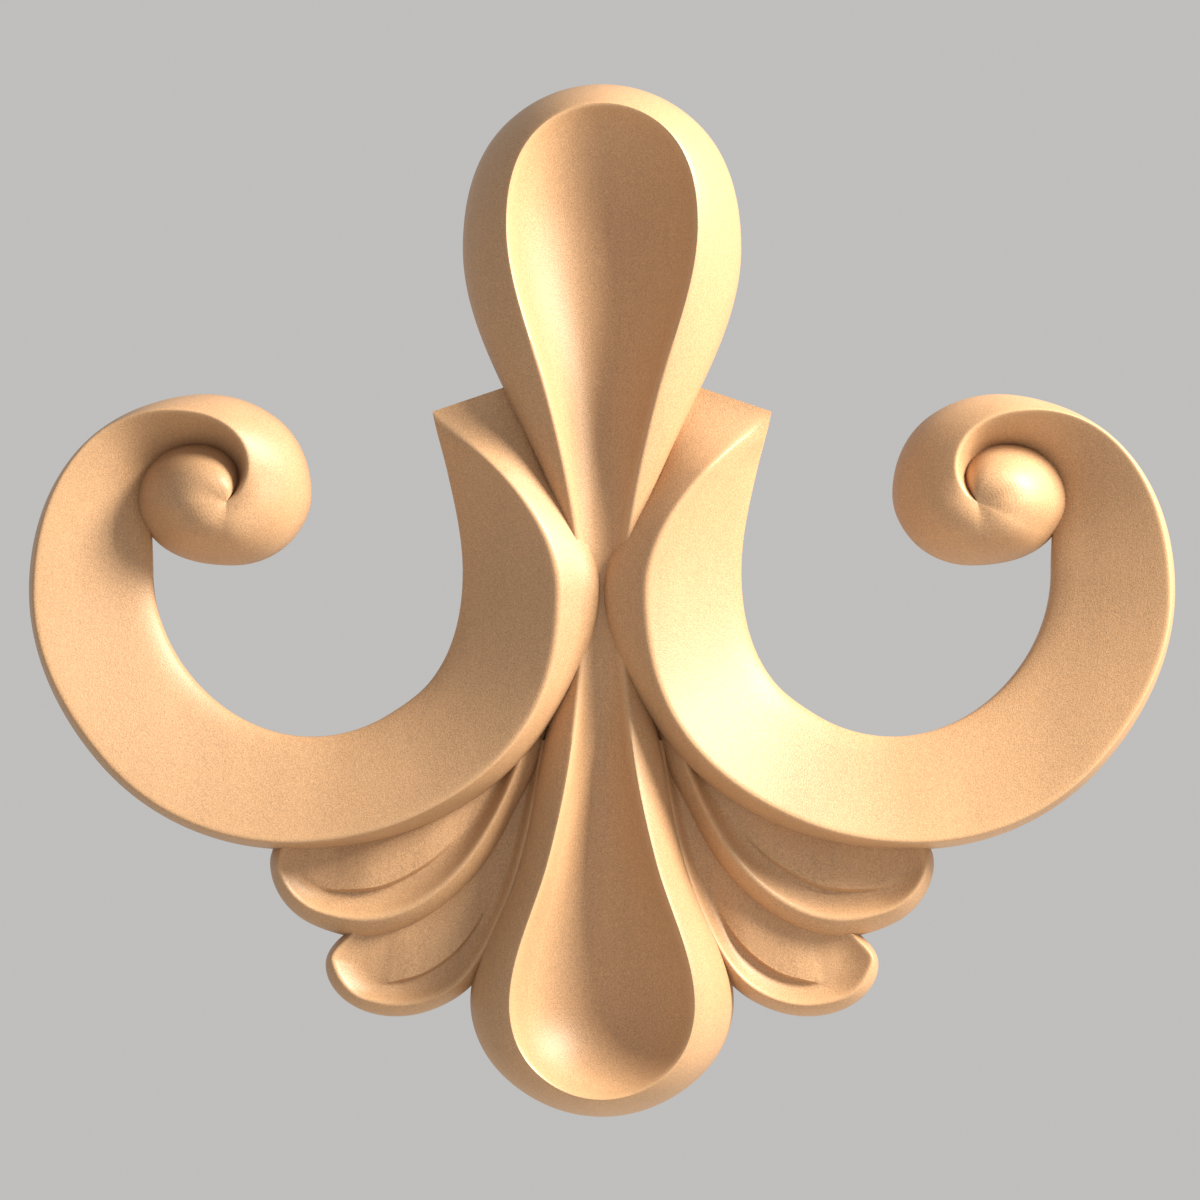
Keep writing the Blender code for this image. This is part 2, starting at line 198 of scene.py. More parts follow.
def lay_grid(name, rows, highlight_and_polish):
    """A closed piece of stock whose front is the grid of points rows[section][across]."""
    rows = np.array(rows)
    along, across = rows.shape[:2]
    bpy.ops.object.select_all(action="DESELECT")
    bpy.ops.mesh.primitive_grid_add(x_subdivisions=across - 1, y_subdivisions=along - 1, size=WIDTH)
    stock = bpy.context.object
    stock.name = stock.data.name = name
    mesh = stock.data
    mesh.vertices.foreach_set("co", rows.ravel())

    corner = np.empty(len(mesh.loops), int)
    mesh.loops.foreach_get("vertex_index", corner)
    run_along = np.cumsum(np.linalg.norm(np.diff(rows, axis=0, prepend=rows[:1]), axis=2), axis=0)
    run_across = np.cumsum(np.linalg.norm(np.diff(rows, axis=1, prepend=rows[:, :1]), axis=2), axis=1)
    middle = np.repeat(run_along.mean(axis=1)[:, None], across, axis=1)
    grain_run = np.stack([middle.ravel(), run_across.ravel()], axis=1)[corner] * UV_SCALE
    mesh.uv_layers[0].name = "along_carving"
    mesh.uv_layers["along_carving"].uv.foreach_set("vector", grain_run.astype(np.float32).ravel())
    marks = np.tile(np.asarray(highlight_and_polish), (along, 1)).reshape(-1, 2)[corner]
    mesh.uv_layers.new(name="finish_marks")
    mesh.uv_layers["finish_marks"].uv.foreach_set("vector", marks.astype(np.float32).ravel())

    bpy.ops.object.mode_set(mode="EDIT")
    bpy.ops.mesh.select_all(action="SELECT")
    bpy.ops.mesh.remove_doubles(threshold=WELD)
    bpy.ops.mesh.quads_convert_to_tris(quad_method="SHORTEST_DIAGONAL")
    bpy.ops.mesh.select_all(action="DESELECT")
    bpy.ops.mesh.select_mode(type="EDGE")
    bpy.ops.mesh.select_non_manifold(
        use_wire=False, use_multi_face=False, use_non_contiguous=False, use_verts=False
    )
    bpy.ops.mesh.extrude_region_move(TRANSFORM_OT_translate={"value": (0, DEPTH, 0)})
    bpy.ops.transform.resize(value=(1, 0, 1), center_override=(0, BACK_SURPLUS, 0))
    bpy.ops.mesh.edge_face_add()
    bpy.ops.mesh.select_all(action="SELECT")
    bpy.ops.mesh.normals_make_consistent(inside=False)
    bpy.ops.object.mode_set(mode="OBJECT")
    print(name, "has", len(rows), "sections and", len(mesh.polygons), "faces")
    return stock


def marks_over_crest(rise_steps, fall_steps, curl=0.0):
    """Crest mask for the painted highlight and polish (1 on a crest), and curl (1 on the curls), for
    the points of over_crest.
    """
    rounded = [EDGE_HIGHLIGHT_AND_POLISH] + [1.0] * (ROUNDING_STEPS - 1) + [EDGE_HIGHLIGHT_AND_POLISH]
    crest = [0.0] * rise_steps + rounded + [0.0] * fall_steps
    return [(mark, curl) for mark in crest]


# %% [markdown]
# ## The loop and drop
# The middle of the onlay is one long hollow, like two spoons joined at their handles: a
# loop above and a drop below. Its sections are spokes from the middle line out over the
# rim to the foot of the side band. They fan round the top and the bottom and meet again
# on the other side, so the sheet closes on itself.

# %% The loop and drop
DISH_RIM = DEPTH
DISH_FLOOR = 0.0070
STEM_HEIGHT = 0.0108
STEM_RIM_RISE = 0.0012
DROP_FOOT = 0.0042
HOLLOW_STEPS = 18
BAND_STEPS = 10

loop_eye = (0, 70, -90)
toe_eye = (0, -78, -90)
neck = STEM_HEIGHT + STEM_RIM_RISE
dish = (DISH_FLOOR, DISH_RIM, DROP_FOOT)
drop_stations = [
    ((loop_eye, (0, 95.5, 0), (0, 100, 0)), dish),
    ((loop_eye, (11.6, 89.8, -48), (17.5, 91.5, -47)), dish),
    ((loop_eye, (16.3, 72.5, -90), (24.3, 68.2, -90)), dish),
    (((0, 40, -90), (9.3, 40.0, -105), (16.7, 40.0, -116)),
     (0.8 * STEM_HEIGHT, 0.95 * DISH_RIM, 2.2 * DROP_FOOT)),
    (((0, 14, -90), (4.5, 13.6, -97), (6.6, 14.0, -108)),
     (STEM_HEIGHT, 1.12 * neck, STEM_HEIGHT)),
    (((0, -7, -90), (3.5, -7.6, -88), (4.4, -6.0, -85)),
     (STEM_HEIGHT, neck, 0.8 * STEM_HEIGHT)),
    (((0, -27, -90), (4.8, -27.0, -83), (10.0, -27.0, -78)),
     (0.88 * STEM_HEIGHT, 1.2 * neck, 0.7 * STEM_HEIGHT)),
    (((0, -50, -90), (9.1, -50.2, -75), (14.4, -50.2, -75)),
     (1.1 * DISH_FLOOR, 0.93 * DISH_RIM, 1.4 * DROP_FOOT)),
    ((toe_eye, (15.8, -77.8, -90), (23.0, -77.5, -90)), dish),
    ((toe_eye, (11.8, -90.0, -133), (17.2, -92.1, -136)), dish),
    ((toe_eye, (0, -95.8, -180), (0, -100, -180)), dish),
]

spokes = []
for (middle, rim, foot), (low, high, base) in sections(drop_stations):
    scoop = slope(middle, rim, low, high, hollow)
    side = slope(rim, foot, high, base, band)
    spokes.append(over_crest(scoop, side, HOLLOW_STEPS, BAND_STEPS))
mirror_side = np.array([-1, 1, 1])
round_trip = spokes + [[point * mirror_side for point in spoke] for spoke in spokes[-2::-1]]
onlay = lay_grid("scroll_onlay_carving", round_trip, marks_over_crest(HOLLOW_STEPS, BAND_STEPS))

# %% [markdown]
# ## The C-scrolls
# Each scroll has a sloping face that rises from the bay to a crest, and a round side band
# that falls from the crest to the foot. At its end the face hollows into a channel, and
# the side band winds on round a ball until it reaches the eye. The ball laps over the
# channel, so the arm and the ball are two sheets that share one section, and the union
# below settles what is hidden. A station holds the knots of the bay's edge, the crest and
# the foot, then their heights and the swell of the side band.

# %% The right scroll
SCROLL_CREST = 0.0175
SWEEP_CREST = 0.0150
TIP_HEIGHT = 0.0095
BAY_EDGE = 0.0062
SWEEP_FOOT = 0.0042
CURL_LIP = 0.0160
CURL_EYE = 0.0154
CURL_SWELL = 0.0036
CHANNEL_FLOOR = 0.0050
BAY_ROLL = 0.0009
BAY_ROLL_WIDTH = 0.0040
FACE_STEPS = 16
SIDE_STEPS = 16
BAY_CROWDING = 1.5
WIDEST_ROLL = 0.4
HIGHEST_ROLL = 0.2

eye = (65.2, 18.9, -45)
mid_crest = 0.5 * (SCROLL_CREST + SWEEP_CREST)
lip_end = 0.5 * (CURL_LIP + CURL_EYE)
channel_end = 0.5 * (CHANNEL_FLOOR + CURL_EYE)
ball_foot = 1.25 * CHANNEL_FLOOR
scroll_stations = [
    (((29.5, 36.5, -100), (29.5, 36.5, -137), (12.0, 43.1, -117)),
     (TIP_HEIGHT, TIP_HEIGHT, 0.72 * TIP_HEIGHT, 0)),
    (((27.0, 25.0, -103), (17.8, 24.7, -133), (8.0, 24.0, -117)),
     (BAY_EDGE, 0.9 * SCROLL_CREST, 0.6 * STEM_HEIGHT, 0)),
    (((24.3, 5.5, -90), (7.6, 1.1, -90), (0.3, 2.0, -90)),
     (BAY_EDGE, SCROLL_CREST, STEM_HEIGHT, -0.2 * CURL_SWELL)),
    (((29.8, -15.4, -52), (13.4, -24.1, -57), (9.9, -25.0, -56)),
     (BAY_EDGE, SCROLL_CREST, 0.75 * STEM_HEIGHT, 0)),
    (((37.3, -22.1, -32), (33.5, -41.8, -24), (33.5, -44.6, -20)),
     (BAY_EDGE, mid_crest, 1.6 * SWEEP_FOOT, 0)),
    (((50.8, -26.4, 0), (54.5, -46.6, 0), (54.6, -48.2, 0)),
     (BAY_EDGE, SWEEP_CREST, SWEEP_FOOT, 0)),
    (((72.9, -13.1, 54), (86.2, -31.0, 49), (87.6, -31.7, 49)),
     (BAY_EDGE, SWEEP_CREST, SWEEP_FOOT, 0)),
    (((78.5, 5.5, 90), (98.8, 1.0, 90), (100.0, 2.0, 90)),
     (BAY_EDGE, SWEEP_CREST, SWEEP_FOOT, 0)),
    (((78.8, 20.0, 92), (88.9, 31.0, 137), (89.7, 31.1, 137)),
     (CHANNEL_FLOOR, SWEEP_CREST, SWEEP_FOOT, 0)),
    (((71.6, 28.8, 180), (75.4, 36.7, 180), (71.9, 39.8, 173)),
     (CHANNEL_FLOOR, CURL_LIP, SWEEP_FOOT, 0)),
    (((66.5, 27.4, -140), (64.9, 33.4, -141), (57.2, 35.7, -144)),
     (CHANNEL_FLOOR, CURL_LIP, SWEEP_FOOT, 0)),
    (((64.4, 23.4, -90), (61.6, 26.0, -90), (50.8, 20.6, -90)),
     (CHANNEL_FLOOR, CURL_LIP, SWEEP_FOOT, 0)),
    (((64.7, 20.6, -60), (63.0, 21.4, -58), (53.6, 12.5, -52)),
     (channel_end, lip_end, SWEEP_FOOT, 0.4 * CURL_SWELL)),
    ((eye, eye, (64.6, 6.8, 0)),
     (CURL_EYE, CURL_EYE, SWEEP_FOOT, 0.75 * CURL_SWELL)),
    ((eye, eye, (78.2, 11.9, 47)),
     (CURL_EYE, CURL_EYE, SWEEP_FOOT, CURL_SWELL)),
    ((eye, eye, (81.2, 19.5, 90)),
     (CURL_EYE, CURL_EYE, ball_foot, CURL_SWELL)),
    ((eye, eye, (77.2, 28.2, 143)),
     (CURL_EYE, CURL_EYE, ball_foot, CURL_SWELL)),
    ((eye, eye, (70.2, 30.6, 180)),
     (CURL_EYE, CURL_EYE, ball_foot, 0.9 * CURL_SWELL)),
    ((eye, eye, (62.8, 23.5, -90)),
     (CURL_EYE, CURL_EYE, ball_foot, 0.45 * CURL_SWELL)),
    ((eye, eye, (64.5, 20.1, -60)),
     (CURL_EYE, CURL_EYE, 0.7 * CURL_EYE, 0)),
]


def scroll_section(edge, crest, foot, low, high, base, swell):
    """One section of the scroll, from the bay over the crest to the foot."""
    width = max(np.linalg.norm(crest - edge), WELD)
    turn = min(WIDEST_ROLL, BAY_ROLL_WIDTH / width)
    roll = min(HIGHEST_ROLL, BAY_ROLL / max(high - low, WELD))

    def face(share):
        return roll * np.sqrt(1 - (1 - min(1, share / turn)) ** 2) + (1 - roll) * share

    def swollen(share):
        return band(share) + swell * np.sin(pi * share) / (base - high or 1)

    rise = slope(edge, crest, low, high, face)
    fall = slope(crest, foot, high, base, swollen)
    return over_crest(rise, fall, FACE_STEPS, SIDE_STEPS, ease=lambda s: s**BAY_CROWDING)


ARM_STATIONS = 14
ARM_LINES = 0.2
BALL_LINES = 1.0

arm_stations = scroll_stations[:ARM_STATIONS]
arm_rows = [scroll_section(*plan, *levels) for plan, levels in sections(arm_stations)]
arm = lay_grid("arm_stock", arm_rows, marks_over_crest(FACE_STEPS, SIDE_STEPS, ARM_LINES))
ball_stations = scroll_stations[ARM_STATIONS - 1 :]
ball_rows = [scroll_section(*plan, *levels) for plan, levels in sections(ball_stations)]
ball = lay_grid("ball_stock", ball_rows, marks_over_crest(FACE_STEPS, SIDE_STEPS, BALL_LINES))

# %% [markdown]
# ## The leaves
# Two cupped leaves come out from under the scroll. Each has a raised lobe, a small step
# down at the vein that fades out at both ends, a flute that sweeps up to the rim, and a
# side band. The step is cut into the sheet itself, because a bump map would not give it
# an edge in shadow. A station holds the knots of the root, the vein, the rim and the foot,
# then three shares, of the rim's height, of the floor's height and of the vein's step, and
# last the height of the foot.

# %% The right leaves
UPPER_LEAF_RIM = 0.0098
LOWER_LEAF_RIM = 0.0082
FLUTE_DEPTH = 0.0030
VEIN_STEP = 0.0012
VEIN_WIDTH = 0.12
LOBE_BULGE = 0.0005
LEAF_FOOT = 0.0028
LOBE_STEPS = 12
FLUTE_STEPS = 14
LEAF_CREST_REACH = 0.0010

under_scroll = 0.6 * LOWER_LEAF_RIM
upper_stations = [
    (((50.0, -43.0, 180), (51.0, -47.0, -85), (55.6, -47.0, -80), (56.6, -46.6, -50)),
     (0.95, 1.15, 0, LEAF_FOOT)),
    (((48.0, -43.0, 180), (50.2, -54.4, -150), (56.4, -51.6, -104), (58.0, -51.4, -94)),
     (1, 1.1, 0, LEAF_FOOT)),
    (((44.0, -42.5, 175), (46.5, -55.8, -180), (49.0, -60.1, -162), (50.4, -62.9, -156)),
     (1, 1, 0.5, LEAF_FOOT)),
    (((39.0, -41.5, 165), (40.5, -55.5, 173), (40.1, -61.3, 175), (40.5, -65.1, 175)),
     (1, 1, 1, under_scroll)),
    (((30.0, -38.0, 152), (31.8, -51.6, 149), (27.6, -54.7, 139), (24.8, -56.4, 137)),
     (1, 1, 1, under_scroll)),
    (((21.0, -32.0, 140), (22.0, -41.0, 127), (18.7, -41.3, 118), (16.1, -42.5, 115)),
     (1, 1, 0, under_scroll)),
    (((15.5, -25.0, 128), (15.8, -29.0, 115), (14.4, -30.0, 110), (10.8, -30.0, 106)),
     (0.92, 0.92, 0, under_scroll)),
    (((12.5, -17.0, 120), (12.5, -20.0, 115), (11.5, -21.0, 112), (8.0, -21.0, 110)),
     (0.7, 0.7, 0, under_scroll)),
]
lower_stations = [
    (((38.0, -60.5, 180), (39.0, -62.6, -85), (43.3, -64.1, -50), (43.8, -63.7, -35)),
     (0.85, 1.1, 0, LEAF_FOOT)),
    (((37.0, -60.8, 180), (39.8, -71.9, -145), (47.1, -69.6, -105), (48.3, -70.5, -90)),
     (0.97, 1.1, 0, LEAF_FOOT)),
    (((35.5, -60.8, 170), (37.6, -73.8, 180), (41.4, -77.0, -163), (42.5, -79.1, -155)),
     (1, 1.1, 0.2, LEAF_FOOT)),
    (((33.0, -60.0, 165), (34.4, -73.1, 170), (34.4, -78.0, 175), (35.3, -80.6, 178)),
     (1, 1.03, 0.8, LEAF_FOOT)),
    (((26.0, -55.0, 140), (26.0, -68.1, 138), (27.2, -75.4, 149), (26.0, -77.4, 150)),
     (1, 1, 1, LEAF_FOOT)),
    (((19.5, -46.0, 120), (19.0, -56.8, 118), (17.6, -59.9, 113), (15.4, -60.5, 114)),
     (1, 1, 0, under_scroll)),
    (((14.5, -34.0, 108), (13.6, -37.5, 106), (12.0, -38.0, 102), (9.6, -38.0, 102)),
     (0.95, 0.95, 0, under_scroll)),
    (((12.0, -26.0, 104), (11.5, -27.0, 104), (10.4, -27.0, 100), (8.0, -27.0, 100)),
     (0.85, 0.85, 0, under_scroll)),
]


def leaf(name, rim_height, stations):
    """A cupped leaf: a lobe, a step at its vein, a flute that rises to the rim, and a band."""
    floor = rim_height - FLUTE_DEPTH
    levels = [
        (knots, (floor * ground, vein * VEIN_STEP, rim_height * rim, foot))
        for knots, (rim, ground, vein, foot) in stations
    ]
    rows = []
    for (root, vein, rim, foot), (ground, step, high, base) in sections(levels):
        under = vein + (rim - vein) * VEIN_WIDTH
        bulge = LOBE_BULGE * step / VEIN_STEP

        def lobe_height(share):
            return share * step + bulge * np.sin(pi * share)

        lobe = slope(root, vein, ground, ground + 1, lobe_height)
        flute = slope(under, rim, ground, high, lambda s: s**2)
        side = slope(rim, foot, high, base, band)
        row = [lobe(s) for s in np.linspace(0, 1, LOBE_STEPS + 1)]
        rows.append(row + over_crest(flute, side, FLUTE_STEPS, BAND_STEPS, LEAF_CREST_REACH))
    marks = [(0.0, 0.0)] * (LOBE_STEPS + 1) + marks_over_crest(FLUTE_STEPS, BAND_STEPS)
    return lay_grid(name, rows, marks)


upper_leaf = leaf("upper_leaf_stock", UPPER_LEAF_RIM, upper_stations)
lower_leaf = leaf("lower_leaf_stock", LOWER_LEAF_RIM, lower_stations)

# %% [markdown]
# ## One piece of wood
# The real carving has no joints, so the stocks are made one body with Boolean unions. The
# exact solver keeps every facet where it was and only cuts along the lines where the
# forms meet, which gives the crisp grooves of the carving. One last cut saws the back
# flat, and the Mirror modifier makes the left half from the right.


# %% Unite, saw and mirror
def use_boolean(target, other, operation):
    """Applies one Boolean on target and removes the other object."""
    step = target.modifiers.new(other.name, "BOOLEAN")
    step.operation = operation
    step.solver = "EXACT"
    step.object = other
    bpy.context.view_layer.objects.active = target
    bpy.ops.object.modifier_apply(modifier=step.name)
    bpy.data.objects.remove(other)


bpy.ops.object.select_all(action="DESELECT")
onlay.select_set(True)
use_boolean(arm, ball, "UNION")
use_boolean(upper_leaf, lower_leaf, "UNION")
use_boolean(arm, upper_leaf, "UNION")
use_boolean(onlay, arm, "UNION")

bpy.ops.object.select_all(action="DESELECT")
bpy.ops.mesh.primitive_cube_add(size=1, location=(0, BACK_SURPLUS, 0))
saw_cut = bpy.context.object
bpy.ops.transform.resize(value=(2 * WIDTH, 2 * BACK_SURPLUS, 2 * HEIGHT))
bpy.ops.object.transform_apply(location=True, rotation=True, scale=True)
use_boolean(onlay, saw_cut, "DIFFERENCE")

halves = onlay.modifiers.new("left half", "MIRROR")
halves.use_bisect_axis[0] = True
halves.bisect_threshold = WELD
halves.merge_threshold = WELD
bpy.context.view_layer.objects.active = onlay
bpy.ops.object.modifier_apply(modifier=halves.name)
print("the carving has", len(onlay.data.polygons), "faces")

# %% [markdown]
# ## Shading
# Smooth shading blends the facets of a slope, but it must stop at the grooves. Shading by
# angle does both: only edges sharper than the limit stay hard.

# %% Shading
GROOVE_ANGLE = 38

bpy.ops.object.select_all(action="DESELECT")
onlay.select_set(True)
bpy.context.view_layer.objects.active = onlay
bpy.ops.object.mode_set(mode="EDIT")
bpy.ops.mesh.select_all(action="SELECT")
bpy.ops.mesh.dissolve_degenerate(threshold=WELD)
bpy.ops.mesh.quads_convert_to_tris(quad_method="BEAUTY", ngon_method="BEAUTY")
bpy.ops.object.mode_set(mode="OBJECT")
bpy.ops.object.shade_smooth_by_angle(angle=radians(GROOVE_ANGLE))
print("triangles:", len(onlay.data.polygons))

# %% [markdown]
# ## Wood
# The wood is pale and close-grained, like lime or beech. Its colour varies in three ways:
# wide soft bands from the growth rings, short fine fibres along the board, and a speckle
# of tiny pores, which also roughens the surface very slightly. Both the carved face and
# the sawn back are cut from the same board, so the wood is a node group that each material
# uses with its own values. The helpers below keep the node code short.


# %% Node helpers
def add_node(tree, kind, **settings):
    """A node of that kind with its properties and, by socket name, its values set."""
    made = tree.nodes.new(kind)
    for name, value in settings.items():
        if name in made.inputs:
            made.inputs[name].default_value = value
        else:
            setattr(made, name, value)
    return made


def new_group(name, inputs, outputs):
    """A shader node group with named sockets: (name, socket type, default value)."""
    group = bpy.data.node_groups.new(name, "ShaderNodeTree")
    for label, kind, value in inputs:
        socket = group.interface.new_socket(name=label, in_out="INPUT", socket_type=kind)
        if value is not None:
            socket.default_value = value
    for label, kind in outputs:
        group.interface.new_socket(name=label, in_out="OUTPUT", socket_type=kind)
    return group, group.nodes.new("NodeGroupInput"), group.nodes.new("NodeGroupOutput")


def math_node(tree, operation, first, second):
    """A Math node on two values or sockets, and its result."""
    made = tree.nodes.new("ShaderNodeMath")
    made.operation = operation
    for socket, value in zip(made.inputs, (first, second)):
        if isinstance(value, (int, float)):
            socket.default_value = value
        else:
            tree.links.new(value, socket)
    return made.outputs[0]


def mix_colour(tree, factor, first, second, blend="MIX"):
    """A Mix node on two colours, and its result."""
    made = tree.nodes.new("ShaderNodeMix")
    made.data_type = "RGBA"
    made.blend_type = blend
    sockets = (made.inputs[0], made.inputs[6], made.inputs[7])
    for socket, value in zip(sockets, (factor, first, second)):
        if isinstance(value, (int, float, tuple)):
            socket.default_value = value
        else:
            tree.links.new(value, socket)
    return made.outputs[2]


# %% [markdown]
# ## The grain
# A picture of wood would show its seams on a carving, because no flat picture fits these
# slopes. Noise in three dimensions has none: it fills the board, and the carving cuts
# through it, as it does in real wood. The noise is stretched along the board for the rings
# and the fibres, and left round for the pores.

# %% The grain group
RING_PITCH = 0.011
RING_CONTRAST = 0.30
FIBRE_PITCH = 0.0006
FIBRE_STRETCH = 14
FIBRE_CONTRAST = 0.14
PORE_PITCH = 0.4 * FIBRE_PITCH
PORE_CONTRAST = 0.80


def make_grain_group():
    group, inlet, outlet = new_group(
        "wood grain",
        [("Position", "NodeSocketVector", None), ("Base", "NodeSocketColor", (0.6, 0.4, 0.2, 1)),
         ("Contrast", "NodeSocketFloat", 1.0)],
        [("Colour", "NodeSocketColor"), ("Height", "NodeSocketFloat")],
    )
    link = group.links.new
    stretched = add_node(group, "ShaderNodeMapping", Scale=(1, 1, 1 / FIBRE_STRETCH))
    link(inlet.outputs["Position"], stretched.inputs["Vector"])

    def noise(pitch, detail, contrast, vector):
        """Noise about zero, as strong as its contrast."""
        made = add_node(group, "ShaderNodeTexNoise", Scale=1 / pitch, Detail=detail)
        link(vector, made.inputs["Vector"])
        about_zero = math_node(group, "SUBTRACT", made.outputs["Fac"], 0.5)
        return math_node(group, "MULTIPLY", about_zero, contrast)

    broad = noise(RING_PITCH, 1.0, RING_CONTRAST, stretched.outputs["Vector"])
    fine = noise(FIBRE_PITCH, 1.0, FIBRE_CONTRAST, stretched.outputs["Vector"])
    speck = noise(PORE_PITCH, 0.0, PORE_CONTRAST, inlet.outputs["Position"])
    total = math_node(group, "ADD", broad, math_node(group, "ADD", fine, speck))
    strength = math_node(group, "MULTIPLY", total, inlet.outputs["Contrast"])
    shade = math_node(group, "ADD", strength, 1.0)
    grey = group.nodes.new("ShaderNodeCombineColor")
    for channel in grey.inputs[:3]:
        link(shade, channel)
    tinted = mix_colour(group, 1.0, inlet.outputs["Base"], grey.outputs[0], "MULTIPLY")
    link(tinted, outlet.inputs["Colour"])
    link(speck, outlet.inputs["Height"])
    return group


grain_group = make_grain_group()
print("grain group sockets:", [item.name for item in grain_group.interface.items_tree])

# %% [markdown]
# ## The carved face
# The face is sanded smooth, but raking light still shows the fine parallel lines that the
# last tool left on the curls, under two hundredths of a millimetre deep. They could be
# carved into the mesh, but that would need several times the faces there, so they are a
# bump that follows the map laid on the carving. It is strong on the balls and a fifth as
# strong on the arms. The crests carry a painted highlight, a touch lighter in colour, and
# are smoother, because sandpaper reaches them first, and the hollows stay matt.

# %% The carved face
CARVED_COLOUR = (0.46, 0.275, 0.150, 1)
# The crest colour is a painted highlight: a lighter tone mixed onto the crests.
CREST_HIGHLIGHT_COLOUR = (0.56, 0.36, 0.205, 1)
CARVED_ROUGHNESS = 0.46
CARVED_SPECULAR = 0.4
CARVED_CONTRAST = 0.8
PAINTED_HIGHLIGHT_SHARE = 0.3
RUBBED_SMOOTHER = 0.08
TOOL_LINE_PITCH = 0.00065
TOOL_LINE_DEPTH = 0.000016
WAVER_PITCH = 12 * TOOL_LINE_PITCH
PORE_DEPTH = 0.000035


def make_carved_material():
    material = bpy.data.materials.new("carved_face")
    material.use_nodes = True
    tree = material.node_tree
    link = tree.links.new
    shader = tree.nodes["Principled BSDF"]
    shader.inputs["Specular IOR Level"].default_value = CARVED_SPECULAR
    where = tree.nodes.new("ShaderNodeTexCoord")
    grain = add_node(tree, "ShaderNodeGroup", node_tree=grain_group)
    link(where.outputs["Object"], grain.inputs["Position"])
    grain.inputs["Base"].default_value = CARVED_COLOUR
    grain.inputs["Contrast"].default_value = CARVED_CONTRAST

    marks = add_node(tree, "ShaderNodeUVMap", uv_map="finish_marks")
    split = tree.nodes.new("ShaderNodeSeparateXYZ")
    link(marks.outputs["UV"], split.inputs[0])
    highlight_and_polish, tooled = split.outputs["X"], split.outputs["Y"]
    # Painted highlight: the crests' colour is mixed toward the lighter crest colour. The same mask
    # makes the crests smoother.
    painted_highlight = math_node(tree, "MULTIPLY", highlight_and_polish, PAINTED_HIGHLIGHT_SHARE)
    colour = mix_colour(tree, painted_highlight, grain.outputs["Colour"], CREST_HIGHLIGHT_COLOUR)
    link(colour, shader.inputs["Base Color"])
    smoother = math_node(tree, "MULTIPLY", highlight_and_polish, RUBBED_SMOOTHER)
    rough = math_node(tree, "SUBTRACT", CARVED_ROUGHNESS, smoother)
    link(rough, shader.inputs["Roughness"])

    runs = add_node(tree, "ShaderNodeUVMap", uv_map="along_carving")
    across = tree.nodes.new("ShaderNodeSeparateXYZ")
    link(runs.outputs["UV"], across.inputs[0])
    waver = add_node(tree, "ShaderNodeTexNoise", Scale=1 / WAVER_PITCH, Detail=0.0)
    link(where.outputs["Object"], waver.inputs["Vector"])
    turns = math_node(tree, "MULTIPLY", across.outputs["Y"], 2 * pi / (TOOL_LINE_PITCH * UV_SCALE))
    turns = math_node(tree, "ADD", turns, math_node(tree, "MULTIPLY", waver.outputs["Fac"], 2 * pi))
    ridge = math_node(tree, "MULTIPLY", math_node(tree, "SINE", turns, 0), 0.5 * TOOL_LINE_DEPTH)
    uneven = math_node(tree, "MULTIPLY", ridge, waver.outputs["Fac"])
    lines = math_node(tree, "MULTIPLY", tooled, uneven)
    pores = math_node(tree, "MULTIPLY", grain.outputs["Height"], PORE_DEPTH)
    bump = tree.nodes.new("ShaderNodeBump")
    bump.inputs["Distance"].default_value = 1.0
    link(math_node(tree, "ADD", lines, pores), bump.inputs["Height"])
    link(bump.outputs["Normal"], shader.inputs["Normal"])
    return material


carved_face = make_carved_material()
onlay.data.materials.clear()
onlay.data.materials.append(carved_face)

# %% [markdown]
# ## The sawn back
# Nobody sees the back once the onlay is glued on. It keeps the straight marks of the saw
# across the board, and it is drier and rougher than the face. Blender's wave texture turns
# through 20 radians for each unit of its scale, so the marks come 2 pi times SAW_RADIAN
# apart, about every 10 mm.

# %% The sawn back
BACK_COLOUR = (0.50, 0.34, 0.20, 1)
BACK_ROUGHNESS = 0.8
SAW_RADIAN = 0.0016
WAVE_RADIANS = 20
SAW_DEPTH = 0.00003
SAW_WANDER = 2.0
BACK_PORE_DEPTH = 3 * PORE_DEPTH
BACK_TOLERANCE = 1e-5


def make_back_material():
    material = bpy.data.materials.new("sawn_back")
    material.use_nodes = True
    tree = material.node_tree
    link = tree.links.new
    shader = tree.nodes["Principled BSDF"]
    shader.inputs["Roughness"].default_value = BACK_ROUGHNESS
    where = tree.nodes.new("ShaderNodeTexCoord")
    grain = add_node(tree, "ShaderNodeGroup", node_tree=grain_group)
    link(where.outputs["Object"], grain.inputs["Position"])
    grain.inputs["Base"].default_value = BACK_COLOUR
    grain.inputs["Contrast"].default_value = 1.0
    link(grain.outputs["Colour"], shader.inputs["Base Color"])
    saw = add_node(tree, "ShaderNodeTexWave", wave_type="BANDS", wave_profile="SAW")
    saw.bands_direction = "X"
    saw.inputs["Scale"].default_value = 1 / (WAVE_RADIANS * SAW_RADIAN)
    saw.inputs["Distortion"].default_value = SAW_WANDER
    link(where.outputs["Object"], saw.inputs["Vector"])
    ridges = math_node(tree, "MULTIPLY", saw.outputs["Fac"], SAW_DEPTH)
    pores = math_node(tree, "MULTIPLY", grain.outputs["Height"], BACK_PORE_DEPTH)
    bump = tree.nodes.new("ShaderNodeBump")
    bump.inputs["Distance"].default_value = 1.0
    link(math_node(tree, "ADD", ridges, pores), bump.inputs["Height"])
    link(bump.outputs["Normal"], shader.inputs["Normal"])
    return material


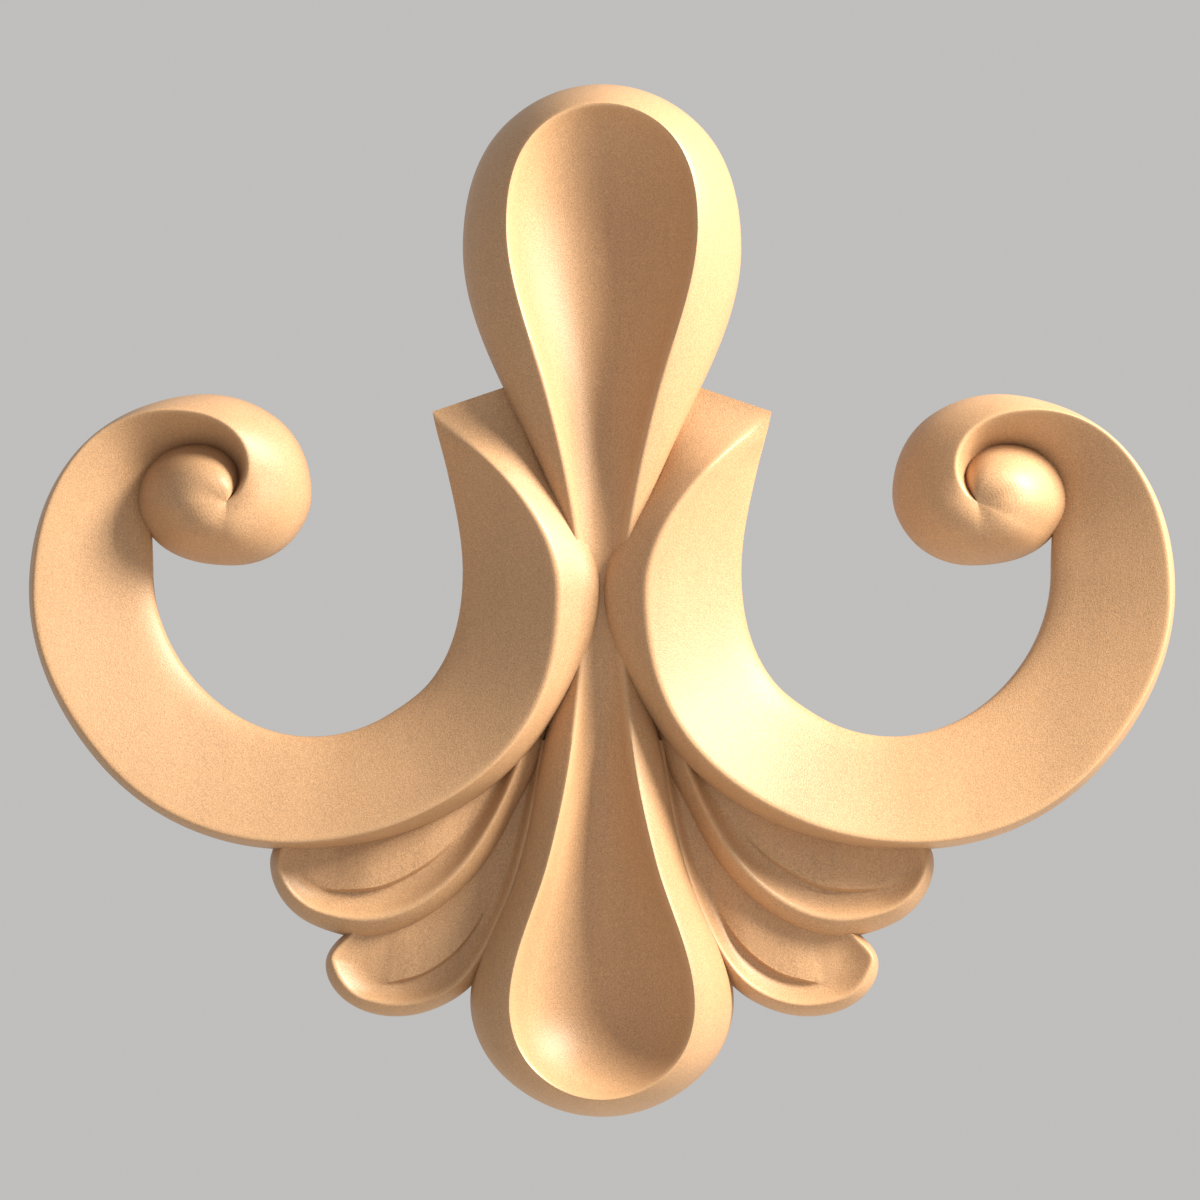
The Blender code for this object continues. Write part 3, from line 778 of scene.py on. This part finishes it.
onlay.data.materials.append(make_back_material())
corners = onlay.data.vertices
on_back = [
    all(abs(corners[v].co.y) < BACK_TOLERANCE for v in face.vertices)
    for face in onlay.data.polygons
]
onlay.data.polygons.foreach_set("material_index", np.array(on_back, int))
print("faces on the sawn back:", sum(on_back))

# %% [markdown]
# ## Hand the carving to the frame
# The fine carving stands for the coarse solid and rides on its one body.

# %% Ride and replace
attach(onlay, "root")
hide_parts("scroll_onlay")

# %% [markdown]
# ## The floor
# The carving hangs in front of a plain pale studio. Its floor is a photographer's table top
# below the picture, small enough that no horizon line cuts across behind the carving. A
# wall behind the carving would be as pale, but it would stand in the way from behind.

# %% The floor
FLOOR_Z = -0.16
FLOOR_SIDE = 1.1
FLOOR_COLOUR = (0.50, 0.49, 0.475, 1)
FLOOR_ROUGHNESS = 0.9

bpy.ops.object.select_all(action="DESELECT")
bpy.ops.mesh.primitive_plane_add(size=FLOOR_SIDE, location=(0, 0, FLOOR_Z))
floor = bpy.context.object
floor.name = "studio_floor"
bpy.ops.object.transform_apply(location=True, rotation=True, scale=True)
pale = bpy.data.materials.new("pale_floor")
pale.use_nodes = True
paint = pale.node_tree.nodes["Principled BSDF"]
paint.inputs["Base Color"].default_value = FLOOR_COLOUR
paint.inputs["Roughness"].default_value = FLOOR_ROUGHNESS
floor.data.materials.append(pale)
print("floor side, m:", FLOOR_SIDE)

# %% [markdown]
# ## The camera
# The camera stands straight in front of the carving. A long lens from far away keeps the
# near crests as large as the back, as a drawing does. Its distance follows from the width
# that the carving takes up in the photograph.

# %% The camera
PHOTO_SIDE = 1200
PHOTO_MIDDLE = (602, 600.5)
PHOTO_WIDTH = 1146
LENS = 300
SENSOR = 36
FOCUS_Y = -0.005

pixel = WIDTH / PHOTO_WIDTH
frame_side = PHOTO_SIDE * pixel
view_distance = frame_side * LENS / SENSOR
bpy.ops.object.camera_add(
    location=(
        (PHOTO_SIDE / 2 - PHOTO_MIDDLE[0]) * pixel,
        FOCUS_Y - view_distance,
        (PHOTO_MIDDLE[1] - PHOTO_SIDE / 2) * pixel,
    ),
    rotation=(pi / 2, 0, 0),
)
camera = bpy.context.object
camera.data.lens = LENS
camera.data.sensor_width = SENSOR
bpy.context.scene.camera = camera
print("camera distance, m:", round(view_distance, 3))

# %% [markdown]
# ## Light
# One soft key light stands to the right and above. It comes in low over the face,
# so that every slope reads. The pale room lights the far slopes evenly from all sides, which
# a second lamp would do only from one.

# %% Lights
KEY_PLACE = (0.45, -0.21, 0.29)
KEY_SIZE = 0.20
KEY_POWER = 10.5
KEY_COLOUR = (1.0, 0.92, 0.78)
ROOM_COLOUR = (0.97, 0.96, 0.94, 1)
ROOM_STRENGTH = 0.54

bpy.ops.object.light_add(type="AREA", location=KEY_PLACE)
key = bpy.context.object
key.name = "key"
key.data.size = KEY_SIZE
key.data.energy = KEY_POWER
key.data.color = KEY_COLOUR
key.rotation_mode = "QUATERNION"
key.rotation_quaternion = key.location.to_track_quat("Z", "Y")

room = bpy.data.worlds.new("pale_room")
bpy.context.scene.world = room
room.use_nodes = True
room.node_tree.nodes["Background"].inputs["Color"].default_value = ROOM_COLOUR
room.node_tree.nodes["Background"].inputs["Strength"].default_value = ROOM_STRENGTH
print("key light, W:", KEY_POWER, "and room strength:", ROOM_STRENGTH)
bpy.context.scene.view_settings.view_transform = "Standard"
